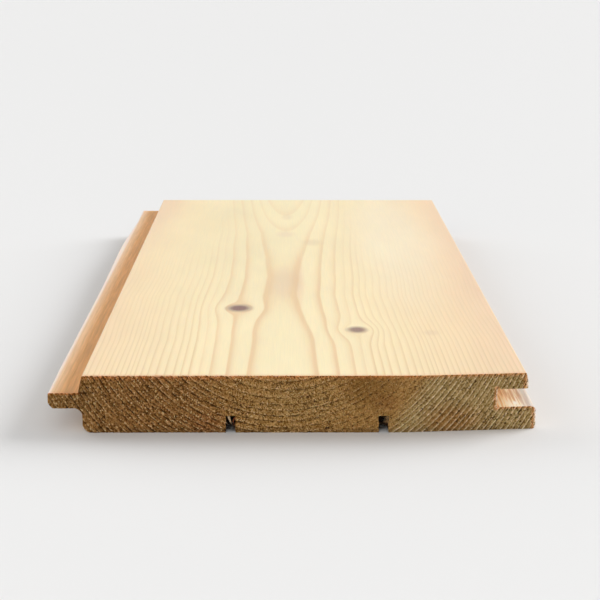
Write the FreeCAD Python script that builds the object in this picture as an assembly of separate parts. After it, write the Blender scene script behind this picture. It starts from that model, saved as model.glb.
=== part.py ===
"""Tongue and groove board: a short length of planed softwood, one solid piece.

The board lies on its underside with its show face up. X runs across the board, from the tongue to the
groove, Y along the grain and Z up. The origin is the middle of the board's footprint, on the underside.
All sizes are in millimetres. Before it is centred, the section is drawn from the lower shoulder, the
upright face under the tongue that the next board's lower lip closes against.
"""

import FreeCAD
import Part
import math
import os

from FreeCAD import Vector

# Overall sizes
LENGTH = 300.0
THICKNESS = 18.0
COVER_WIDTH = 138.0  # lower shoulder to the nose of the lower lip: the width that one laid board covers

# Tongue, on the low X side
TONGUE_DROP = 5.45  # show face down to the tongue's upper side
TONGUE_THICKNESS = 4.8
TONGUE_REACH = 10.4  # lower shoulder out to the tongue's tip
TONGUE_TIP_ROUND = 2.0
TONGUE_COVE_ROUND = 2.5  # inside corner between the tongue's lower side and the lower shoulder

# Upper shoulder, the leaning face above the tongue
SHOULDER_STEP = 1.15  # how far its foot stands out past the lower shoulder
SHOULDER_LEAN = 1.35  # how far it leans back from its foot to the show face

# Groove, on the high X side, sized from the tongue that fills it
GROOVE_PLAY = 0.45  # gap over and under the tongue
TIP_CLEARANCE = 2.0  # gap between the tongue's tip and the groove's back wall
JOINT_GAP = 1.5  # gap between two laid boards at the foot of the upper shoulder
LIP_LAND = 1.6  # upright part of the upper lip's edge, below its lean
LIP_LEAN = 0.9

# Rounded arrises
ARRIS_ROUND = 0.5
LIP_FOOT_ROUND = 0.25
SEAT_ROUND = 2.8  # underside to the lower shoulder
NOSE_LOWER_ROUND = 1.2

# Relief kerfs, sawn along the underside
KERF_COUNT = 2
KERF_WIDTH = 3.0
KERF_DEPTH = 5.3
KERF_PITCH = 46.4
KERF_SHIFT = 1.05  # the row of kerfs stands this much nearer the tongue than the middle of the cover width

# Front end. The crosscut was finished by a second cut, which falls away towards the groove
SECOND_CUT_SET_BACK = 3.3  # measured at the nose of the lower lip
SECOND_CUT_FROM_NOSE_TOP = 35.5  # nose to where the two cuts meet on the show face
SECOND_CUT_FROM_NOSE_BOTTOM = 40.5  # the same on the underside
CORNER_ROUND = 1.3  # upright corners between the second cut and the two lips

CUTTER_MARGIN = 5.0  # how far a cutting shape runs past the board


def rounded_outline(corners):
    """Closed wire in the XZ plane through corners (x, z, radius). Each radius becomes a tangent arc."""
    count = len(corners)
    points = [Vector(x, 0, z) for x, z, _ in corners]
    starts, mids, ends = [], [], []
    for i, (_, _, radius) in enumerate(corners):
        corner = points[i]
        back = (points[i - 1] - corner).normalize()
        ahead = (points[(i + 1) % count] - corner).normalize()
        half_angle = back.getAngle(ahead) / 2
        reach = radius / math.tan(half_angle)
        inward = (back + ahead).normalize()
        starts.append(corner + back * reach)
        ends.append(corner + ahead * reach)
        mids.append(corner + inward * (radius / math.sin(half_angle) - radius))
    edges = []
    for i, (_, _, radius) in enumerate(corners):
        if radius > 0:
            edges.append(Part.Arc(starts[i], mids[i], ends[i]).toShape())
        edges.append(Part.LineSegment(ends[i], starts[(i + 1) % count]).toShape())
    return Part.Wire(edges)


def section_corners():
    """Corners of the board's section, from the underside round the tongue, the show face and the groove.

    The nose of the lower lip is rounded to seat in the next board's cove, with the groove's play.
    """
    tongue_top = THICKNESS - TONGUE_DROP
    tongue_bottom = tongue_top - TONGUE_THICKNESS
    groove_roof = tongue_top + GROOVE_PLAY
    groove_floor = tongue_bottom - GROOVE_PLAY
    groove_back = COVER_WIDTH - TONGUE_REACH - TIP_CLEARANCE
    lip_edge = upper_lip_edge()
    nose_upper_round = TONGUE_COVE_ROUND - GROOVE_PLAY
    return [
        (0, 0, SEAT_ROUND),
        (0, tongue_bottom, TONGUE_COVE_ROUND),
        (-TONGUE_REACH, tongue_bottom, TONGUE_TIP_ROUND),
        (-TONGUE_REACH, tongue_top, ARRIS_ROUND),
        (-SHOULDER_STEP, tongue_top, 0),
        (SHOULDER_LEAN - SHOULDER_STEP, THICKNESS, ARRIS_ROUND),
        (lip_edge - LIP_LEAN, THICKNESS, ARRIS_ROUND),
        (lip_edge, groove_roof + LIP_LAND, 0),
        (lip_edge, groove_roof, LIP_FOOT_ROUND),
        (groove_back, groove_roof, 0),
        (groove_back, groove_floor, 0),
        (COVER_WIDTH, groove_floor, nose_upper_round),
        (COVER_WIDTH, 0, NOSE_LOWER_ROUND),
    ]


def upper_lip_edge():
    """X of the upper lip's upright edge, which leaves the joint's gap to the next board's upper shoulder."""
    return COVER_WIDTH - SHOULDER_STEP - JOINT_GAP


def planed_stock():
    """The moulded length, with both ends still square."""
    section = Part.Face(rounded_outline(section_corners()))
    return section.extrude(Vector(0, LENGTH, 0))


def relief_kerfs():
    """The saw kerfs to cut from the underside, in a row about the middle of the cover width."""
    middle = COVER_WIDTH / 2 - KERF_SHIFT
    first = middle - KERF_PITCH * (KERF_COUNT - 1) / 2
    kerfs = []
    for n in range(KERF_COUNT):
        left = first + n * KERF_PITCH - KERF_WIDTH / 2
        corner = Vector(left, -CUTTER_MARGIN, -CUTTER_MARGIN)
        run = LENGTH + 2 * CUTTER_MARGIN
        kerfs.append(Part.makeBox(KERF_WIDTH, run, KERF_DEPTH + CUTTER_MARGIN, corner))
    return kerfs


def second_cut_slope():
    """Depth gained by the second cut for each millimetre towards the groove."""
    return SECOND_CUT_SET_BACK / ((SECOND_CUT_FROM_NOSE_TOP + SECOND_CUT_FROM_NOSE_BOTTOM) / 2)


def second_cut_tilt():
    """Depth gained by the second cut for each millimetre upwards."""
    return second_cut_slope() * (SECOND_CUT_FROM_NOSE_TOP - SECOND_CUT_FROM_NOSE_BOTTOM) / THICKNESS


def second_cut_depth(x, z):
    """How far the plane of the second cut lies behind the front end, at a point of the section."""
    start = COVER_WIDTH - SECOND_CUT_FROM_NOSE_BOTTOM
    return second_cut_slope() * (x - start) + second_cut_tilt() * z


def second_cut():
    """The waste in front of the second cut, as a solid."""
    low, high = -CUTTER_MARGIN, THICKNESS + CUTTER_MARGIN
    near, far = 0, COVER_WIDTH + CUTTER_MARGIN
    corners = [(near, low), (far, low), (far, high), (near, high)]
    rim = [Vector(x, second_cut_depth(x, z), z) for x, z in corners]
    face = Part.Face(Part.makePolygon(rim + rim[:1]))
    return face.extrude(Vector(0, -COVER_WIDTH, 0))


def lip_corner_waste(edge_x, bottom, top):
    """What rounding takes off a lip's upright front corner. It follows the tilt of the second cut."""
    corner = Vector(edge_x, second_cut_depth(edge_x, bottom), bottom)
    along_cut = Vector(-1, -second_cut_slope(), 0).normalize()
    along_lip = Vector(0, 1, 0)
    half_angle = along_cut.getAngle(along_lip) / 2
    reach = CORNER_ROUND / math.tan(half_angle)
    inward = (along_cut + along_lip).normalize()
    on_cut = corner + along_cut * reach
    on_lip = corner + along_lip * reach
    middle = corner + inward * (CORNER_ROUND / math.sin(half_angle) - CORNER_ROUND)
    outside = corner + Vector(CUTTER_MARGIN, -CUTTER_MARGIN, 0)
    path = [on_lip, Vector(outside.x, on_lip.y, bottom), outside, Vector(on_cut.x, outside.y, bottom), on_cut]
    edges = [Part.LineSegment(a, b).toShape() for a, b in zip(path, path[1:])]
    edges.append(Part.Arc(on_cut, middle, on_lip).toShape())
    rise = top - bottom
    return Part.Face(Part.Wire(edges)).extrude(Vector(0, second_cut_tilt() * rise, rise))


def lip_corners():
    """The rounding waste of the upper lip and of the lower lip, parted at mid height in the groove."""
    groove_middle = THICKNESS - TONGUE_DROP - TONGUE_THICKNESS / 2
    upper = lip_corner_waste(upper_lip_edge(), groove_middle, THICKNESS + CUTTER_MARGIN)
    lower = lip_corner_waste(COVER_WIDTH, -CUTTER_MARGIN, groove_middle)
    return [upper, lower]


def build_board():
    """The finished board, centred over its footprint."""
    board = planed_stock().cut(relief_kerfs()).cut(second_cut()).cut(lip_corners()).Solids[0]
    middle_x = (COVER_WIDTH - TONGUE_REACH) / 2
    board.translate(Vector(-middle_x, -LENGTH / 2, 0))
    return board


def main():
    os.makedirs("parts", exist_ok=True)
    board = build_board()
    box = board.BoundBox
    print("board", board.ShapeType, "solids", len(board.Solids), "valid", board.isValid())
    print("size", round(box.XLength, 3), round(box.YLength, 3), round(box.ZLength, 3))
    print("low corner", round(box.XMin, 3), round(box.YMin, 3), round(box.ZMin, 3) + 0.0)
    print("volume in cm3", round(board.Volume / 1000, 2))
    board.exportStep("parts/board.step")


main()
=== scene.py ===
"""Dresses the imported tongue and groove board: planed softwood with a rough sawn front end.

One mesh stands for the CAD solid. It has the same section, kerfs and cuts, and adds what a moulder and a
saw leave: a wavering tongue, torn fibres, chips and splinters. All its colour comes from one figure of
growth rings in space, so the lines on the long faces meet the rings on the ends.
Lengths are in millimetres, and become metres where a mesh or a camera is made.
"""

import logging
import math
from dataclasses import dataclass
from enum import Enum
from typing import Optional, Sequence

import bpy
import numpy as np
from mathutils import Matrix, Vector
from mathutils.geometry import delaunay_2d_cdt


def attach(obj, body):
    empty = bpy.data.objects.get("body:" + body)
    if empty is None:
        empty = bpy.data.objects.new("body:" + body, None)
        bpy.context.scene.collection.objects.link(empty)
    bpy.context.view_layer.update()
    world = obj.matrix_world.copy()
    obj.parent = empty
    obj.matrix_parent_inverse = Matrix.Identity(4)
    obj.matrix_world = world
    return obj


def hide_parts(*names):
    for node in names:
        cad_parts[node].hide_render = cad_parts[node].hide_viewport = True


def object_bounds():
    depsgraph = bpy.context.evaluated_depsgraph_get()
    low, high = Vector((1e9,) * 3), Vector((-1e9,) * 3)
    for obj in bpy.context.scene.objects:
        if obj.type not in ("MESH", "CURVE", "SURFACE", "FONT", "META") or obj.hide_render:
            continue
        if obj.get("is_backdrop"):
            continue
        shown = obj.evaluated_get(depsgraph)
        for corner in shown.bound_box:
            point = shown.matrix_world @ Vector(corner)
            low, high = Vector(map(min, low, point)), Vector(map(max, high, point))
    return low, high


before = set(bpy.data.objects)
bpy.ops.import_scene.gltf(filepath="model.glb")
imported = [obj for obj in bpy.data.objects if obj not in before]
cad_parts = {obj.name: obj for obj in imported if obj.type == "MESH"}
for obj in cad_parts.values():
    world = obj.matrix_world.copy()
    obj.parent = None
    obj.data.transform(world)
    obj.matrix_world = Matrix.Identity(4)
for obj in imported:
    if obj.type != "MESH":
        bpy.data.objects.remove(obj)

CAD_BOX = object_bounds()
NODE, BODY, SLOT = "board", "root", "planed_softwood"
MM = 0.001
Socket = bpy.types.NodeSocket
# Settings of a Mix node that lays a colour (input 7) over another (input 6), by a share (input 0)
TINT = {"out": 2, "data_type": "RGBA"}
# Setting of a MapRange node that eases in and out
SOFT = {"interpolation_type": "SMOOTHSTEP"}

log = logging.getLogger("board")


class Surface(Enum):
    """The kinds of surface on the board, numbered as its material slots are."""

    PLANED = 0
    END_GRAIN = 1
    KERF_WALL = 2


class Fibre(Enum):
    """The kinds of fibre at the kerfs, numbered as the splinters' material slots are."""

    PALE = 0
    RED = 1
    DARK = 2
    TAN = 3


class Mark(Enum):
    """What the mesh tells its materials at each of its points."""

    GASH = "gash"
    LIT_EDGE = "lit_edge"
    CHIP = "chip"


class Noise(Enum):
    """The noises that shape the mesh. Each has a number that picks it, and the size of its cells."""

    TORN_CELLS = (1, 0.45, 0.6)
    BROAD_TEAR = (2, 5.0, 5.0)
    LONG_GASH = (3, 0.6, 1.7)
    SHORT_GASH = (4, 0.4, 0.5)
    SMALL_CHIP = (5, 0.36, 1.0)
    LARGE_CHIP = (6, 1.3, 1.0)
    KERF_FRAY = (7, 0.7, 1.5)
    SCATTERED_PIT = (8, 0.5, 0.45)
    REAR_TEAR = (9, 1.3, 1.3)


def linear(hex_colour: str) -> tuple[float, float, float, float]:
    """Turns an sRGB hex colour into the linear values that a shader takes.

    Args:
        hex_colour: Six hex digits, such as "F9ECC8".

    Returns:
        Linear red, green and blue, with an alpha of 1.
    """
    shares = [int(hex_colour[i : i + 2], 16) / 255 for i in (0, 2, 4)]
    red, green, blue = (s / 12.92 if s <= 0.04045 else ((s + 0.055) / 1.055) ** 2.4 for s in shares)
    return red, green, blue, 1.0


def add_object(name: str, data: bpy.types.ID) -> bpy.types.Object:
    """Puts a mesh, lamp or camera into the scene.

    Args:
        name: Name of the object.
        data: What the object shows.

    Returns:
        The object.
    """
    item = bpy.data.objects.new(name, data)
    bpy.context.scene.collection.objects.link(item)
    return item


def make_mesh(
    name: str, points: np.ndarray, faces: list, kinds: list[int], finishes: Sequence[bpy.types.Material]
) -> bpy.types.Mesh:
    """Makes a smoothly shaded mesh.

    Args:
        name: Name of the mesh.
        points: Its points in millimetres, one row each.
        faces: Numbers of each face's points.
        kinds: Number of each face's material.
        finishes: The materials.

    Returns:
        The mesh.
    """
    mesh = bpy.data.meshes.new(name)
    mesh.from_pydata((points * MM).tolist(), [], [tuple(map(int, face)) for face in faces])
    for finish in finishes:
        mesh.materials.append(finish)
    mesh.polygons.foreach_set("material_index", kinds)
    mesh.polygons.foreach_set("use_smooth", [True] * len(faces))
    mesh.update()
    return mesh


def smooth_noise(u: np.ndarray, v: np.ndarray, which: Noise) -> np.ndarray:
    """Smooth random heights between -1 and 1, the same on each run.

    Args:
        u: First coordinate.
        v: Second coordinate.
        which: The noise.

    Returns:
        Height at each point.
    """

    def corner_height(i: np.ndarray, j: np.ndarray) -> np.ndarray:
        """Random height at a corner of a cell."""
        wave = np.sin(i * 127.1 + j * 311.7 + number * 74.7) * 43758.5453
        return 2 * (wave - np.floor(wave)) - 1

    number, wide, long = which.value
    u, v = u / wide, v / long
    i, j = np.floor(u), np.floor(v)
    s, t = u - i, v - j
    s, t = s * s * (3 - 2 * s), t * t * (3 - 2 * t)
    low = corner_height(i, j) * (1 - s) + corner_height(i + 1, j) * s
    high = corner_height(i, j + 1) * (1 - s) + corner_height(i + 1, j + 1) * s
    return low * (1 - t) + high * t


class Graph:
    """A node tree, written from its coordinates to its output."""

    def __init__(self, owner: bpy.types.ID) -> None:
        """Empties the tree of a material or a world.

        Args:
            owner: The material or world.
        """
        owner.use_nodes = True
        self.owner = owner
        self.tree = owner.node_tree
        self.tree.nodes.clear()

    def add(
        self,
        kind: str,
        *values: object,
        named: Optional[dict] = None,
        points: Sequence[tuple] = (),
        stops: Sequence[tuple] = (),
        out: object = 0,
        **settings: object,
    ) -> Socket:
        """Adds a node with its settings and links.

        Args:
            kind: Node type without its ShaderNode prefix, with its operation after a space if it has one.
            values: Sockets, constants or hex colours for the first inputs, in order.
            named: The same for inputs by name or number.
            points: Points of the node's curve, joined by straight lines.
            stops: Place and hex colour of each stop of the node's ramp.
            out: Name or number of the output to return.
            settings: Attributes of the node.

        Returns:
            The chosen output, or the first input of a node that has no output.
        """
        kind, _, operation = kind.partition(" ")
        node = self.tree.nodes.new("ShaderNode" + kind)
        if operation:
            node.operation = operation
        for key, value in settings.items():
            setattr(node, key, value)
        for i, place in enumerate(points):
            curve = node.mapping.curves[0].points
            point = curve[i] if i < 2 else curve.new(*place)
            point.location = place
        if points:
            for point in node.mapping.curves[0].points:
                point.handle_type = "VECTOR"
            node.mapping.update()
        for i, (place, colour) in enumerate(stops):
            ramp = node.color_ramp.elements
            stop = ramp[i] if i < 2 else ramp.new(place)
            stop.position, stop.color = place, linear(colour)
        for key, value in (dict(enumerate(values)) | (named or {})).items():
            if isinstance(value, Socket):
                self.tree.links.new(value, node.inputs[key])
            else:
                node.inputs[key].default_value = linear(value) if isinstance(value, str) else value
        return node.outputs[out] if node.outputs else node.inputs[0]


@dataclass(frozen=True)
class Patch:
    """A soft-edged patch of another colour. Its size is its half width along each axis."""

    middle: tuple[float, float, float]
    size: tuple[float, float, float]
    colour: str
    strength: float

    def lay(self, graph: Graph, point: Socket, under: Socket) -> Socket:
        """Adds the nodes that lay the patch over a colour.

        Args:
            graph: Tree to add to.
            point: Place in the board.
            under: Colour under the patch.

        Returns:
            The colour with the patch on it.
        """
        offset = graph.add("VectorMath SUBTRACT", point, self.middle)
        offset = graph.add("VectorMath DIVIDE", offset, self.size)
        apart = graph.add("VectorMath LENGTH", offset, out="Value")
        share = graph.add("MapRange", apart, 1.0, 0.2, 0.0, self.strength, **SOFT)
        tints = {0: share, 6: under, 7: self.colour}
        return graph.add("Mix", named=tints, **TINT)


@dataclass(frozen=True)
class EdgeHighlight:
    """A painted highlight along a rounded edge, where light catches it. It starts some way in from the
    edge, and is whole nearer to it.
    """

    start: float
    whole: float
    strength: float
    colour: str


@dataclass(frozen=True)
class Knot:
    """A small branch that the board was sawn through, where it meets the show face."""

    x: float
    y: float
    radius: float
    darkness: float = 1.0
    # How fast the grain straightens beside it: the lower, the wider it bows
    tightness: float = 2.0
    lean_y: float = 0.25
    # How much wider it is at the underside
    widening: float = 1.4
    # How much it, and the grain that parts for it, are drawn out along the board
    oval: tuple = (1.0, 0.85, 0.0)
    grain_oval: tuple = (1.0, 0.62, 0.0)
    # In radii from its middle: where its colour, the plain wood round it and the parting of the grain
    # start, and where they are whole
    body: tuple = (1.45, 0.42)
    halo: tuple = (1.15, 0.8)
    parting: tuple = (4.6, 1.3)
    # Radii from its middle, and how dark its rim is there
    rim: tuple = ((0, 0), (0.4, 0), (0.75, 0.5), (1.0, 0))


@dataclass(frozen=True)
class Figure:
    """Sockets that say what the wood is at a point."""

    point: Socket
    x: Socket
    y: Socket
    z: Socket
    radius: Socket
    arc: Socket
    late: Socket
    early: Socket
    knot: Socket
    rim: Socket


@dataclass(frozen=True)
class GrowthRings:
    """The figure of the wood: rings about a pith that runs above the show face, and the knots in them.

    Each ring mark pairs a distance from the pith with the number of the ring found there. The pith's
    height and drift are given along the board, because no trunk is quite straight.
    """

    show_face: float = 18.0
    front: float = -150.0
    pith_x: float = -3.2
    ring_marks: tuple = (
        (31.9, -1.6), (34.7, 0.0), (36.0, 1.0), (37.8, 2.0), (40.1, 3.0), (42.55, 4.0),
        (46.2, 6.0), (49.15, 8.0), (54.6, 11.0), (57.65, 13.0), (59.7, 15.0), (67.6, 21.0),
        (70.85, 23.0), (79.05, 29.0), (94.5, 40.0),
    )
    # A ring is this much taller than it is wide
    oval: float = 1.1
    pith_height: tuple = (
        (-150, 58.0), (-100, 58.35), (-70, 58.95), (-45, 59.25), (-17, 59.25),
        (17, 58.9), (67, 57.9), (110, 56.2), (150, 54.95),
    )
    pith_drift: tuple = (
        (-150, 0.0), (-110, 0.0), (-83, -1.0), (-50, -1.5), (-20, -0.2), (40, 0.2),
        (67, 1.0), (150, 0.8),
    )
    knots: tuple = (
        Knot(x=-18.9, y=-68.0, radius=4.1),
        Knot(x=21.6, y=-97.3, radius=3.3, darkness=0.9, tightness=1.4),
    )
    # Share of a year's growth, and how dense the wood is: it builds up and then stops at once
    density: tuple = (
        (0.0, 0.25), (0.1, 0.5), (0.2, 0.95), (0.3, 1.0), (0.36, 0.1), (0.42, 0.0),
        (0.75, 0.0), (0.9, 0.1), (1.0, 0.25),
    )
    # The first cells of a year are wide and weak
    weakness: tuple = ((0.0, 0.0), (0.34, 0.0), (0.4, 1.0), (0.56, 1.0), (0.68, 0.1), (1.0, 0.0))
    late_middle: float = 0.25
    # Strength of the dense wood in the worst and the best of summers
    vigour: tuple = (0.75, 1.0)
    # A poor summer, which left a faint ring
    poor_year: int = 5
    poor_loss: float = 0.5
    arc_radius: float = 60.0
    # Length of the grain's slow sways across, along and up the board, how far they go, and where they start
    sway_length: tuple = (16.0, 60.0, 16.0)
    sway_reach: tuple = (1.1, 0.0, 0.2)
    sway_start: float = 35.0

    def count_at(self, x: np.ndarray, z: np.ndarray) -> tuple[np.ndarray, np.ndarray, np.ndarray]:
        """Rings at points of the front end, where the figure is undisturbed.

        Args:
            x: Places across the board.
            z: Heights above the underside.

        Returns:
            Distance from the pith, distance along the ring, and ring number at each point.
        """
        dx, dz = x - self.pith_x, (self.pith_height[0][1] - z) / self.oval
        radius = np.hypot(dx, dz)
        marks = np.array(self.ring_marks)
        return radius, np.arctan2(dx, dz) * self.arc_radius, np.interp(radius, marks[:, 0], marks[:, 1])

    def follow(self, graph: Graph, place: Socket, pairs: Sequence[tuple]) -> Socket:
        """Adds nodes that follow pairs of place and value, with straight lines between them.

        Args:
            graph: Tree to add to.
            place: Place to look up.
            pairs: Places in rising order, each with its value.

        Returns:
            The value at the place.
        """
        first, last = pairs[0][0], pairs[-1][0]
        values = [value for _, value in pairs]
        low, high = min(values), max(values)
        points = [((p - first) / (last - first), (v - low) / (high - low)) for p, v in pairs]
        share = graph.add("MapRange", place, first, last)
        bent = graph.add("FloatCurve", 1.0, share, points=points)
        return graph.add("MapRange", bent, 0.0, 1.0, low, high)

    def wander(self, graph: Graph, point: Socket, y: Socket) -> Socket:
        """Adds the slow sway of the grain, which starts a little way in from the front end.

        Args:
            graph: Tree to add to.
            point: Place in the board.
            y: Its place along the board.

        Returns:
            The place in an even log that has this place's wood.
        """
        slow = graph.add("VectorMath DIVIDE", point, self.sway_length)
        noise = graph.add("TexNoise", slow, named={"Scale": 1.0, "Detail": 1.0}, out="Color")
        sway = graph.add("VectorMath SUBTRACT", noise, (0.5, 0.5, 0.5))
        inland = graph.add("MapRange", y, self.front, self.front + self.sway_start)
        sway = graph.add("VectorMath SCALE", sway, named={"Scale": inland})
        return graph.add("VectorMath MULTIPLY_ADD", sway, self.sway_reach, point)

    def grow_knot(self, graph: Graph, knot: Knot, place: Socket) -> dict[str, Socket]:
        """Adds one knot and the way that the grain parts around it.

        Args:
            graph: Tree to add to.
            knot: The knot.
            place: Place in the wood.

        Returns:
            The knot's inside, its dark rim, the plain wood close to it, and the sideways push on the grain.
        """
        add = graph.add
        rise = self.pith_height[0][1] - self.show_face
        lean = ((self.pith_x - knot.x) / rise, -knot.lean_y, 0.0)
        offset = add("VectorMath SUBTRACT", place, (knot.x, knot.y, self.show_face))
        height = add("SeparateXYZ", offset, out="Z")
        slide = add("VectorMath SCALE", lean, named={"Scale": height})
        offset = add("VectorMath SUBTRACT", offset, slide)
        across = add("SeparateXYZ", offset, out="X")
        girth = add("MapRange", height, -self.show_face, 0.0, knot.widening * knot.radius, knot.radius)
        level = add("VectorMath MULTIPLY", offset, knot.oval)
        apart = add("VectorMath LENGTH", level, out="Value")
        near = add("Math DIVIDE", apart, girth)
        drawn_out = add("VectorMath MULTIPLY", offset, knot.grain_oval)
        flow = add("VectorMath LENGTH", drawn_out, out="Value")
        flow = add("Math DIVIDE", flow, girth)
        # The grain parts as a stream does round a post
        share = add("Math DIVIDE", 1.05, flow)
        share = add("Math POWER", share, knot.tightness)
        share = add("Math MINIMUM", share, 1.0)
        fade = add("MapRange", flow, *knot.parting, **SOFT)
        share = add("Math MULTIPLY", share, fade)
        return {
            "knot": add("MapRange", near, *knot.body, 0.0, knot.darkness, **SOFT),
            "rim": add("FloatCurve", 1.0, near, points=knot.rim),
            "halo": add("MapRange", near, *knot.halo, **SOFT),
            "push": add("Math MULTIPLY", across, share),
        }

    def draw(self, graph: Graph) -> Figure:
        """Adds the whole figure to a tree.

        Args:
            graph: Tree to add to.

        Returns:
            The figure's sockets.
        """
        add = graph.add
        source = add("TexCoord", out="Object")
        point = add("VectorMath SCALE", source, named={"Scale": 1 / MM})
        x, y, z = (add("SeparateXYZ", point, out=axis) for axis in "XYZ")
        place = self.wander(graph, point, y)
        across, up = (add("SeparateXYZ", place, out=axis) for axis in "XZ")
        total: dict[str, Socket] = {}
        for knot in self.knots:
            for key, socket in self.grow_knot(graph, knot, place).items():
                total[key] = add("Math ADD", total[key], socket) if key in total else socket
        across = add("Math SUBTRACT", across, total["push"])
        drift = self.follow(graph, y, self.pith_drift)
        middle = add("Math ADD", drift, self.pith_x)
        dx = add("Math SUBTRACT", across, middle)
        dz = add("Math SUBTRACT", self.follow(graph, y, self.pith_height), up)
        dz = add("Math DIVIDE", dz, self.oval)
        spoke = add("CombineXYZ", dx, dz, 0.0)
        radius = add("VectorMath LENGTH", spoke, out="Value")
        turn = add("Math ARCTAN2", dx, dz)
        count = self.follow(graph, radius, self.ring_marks)
        shifted = add("Math ADD", count, self.late_middle)
        year = add("Math FRACT", shifted)
        number = add("Math FLOOR", shifted)
        # Some summers are better than others
        vigour = add("TexWhiteNoise", named={"W": number}, noise_dimensions="1D")
        vigour = add("MapRange", vigour, 0.0, 1.0, *self.vigour)
        poor = add("Math COMPARE", number, self.poor_year, 0.5)
        vigour = add("Math MULTIPLY_ADD", poor, -self.poor_loss, vigour)
        late = add("FloatCurve", 1.0, year, points=self.density)
        late = add("Math MULTIPLY", late, vigour)
        clear = add("Math SUBTRACT", 1.0, total["halo"], use_clamp=True)
        return Figure(
            point, x, y, z, radius,
            arc=add("Math MULTIPLY", turn, self.arc_radius),
            late=add("Math MULTIPLY", late, clear),
            early=add("FloatCurve", 1.0, year, points=self.weakness),
            knot=total["knot"],
            rim=total["rim"],
        )


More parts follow.
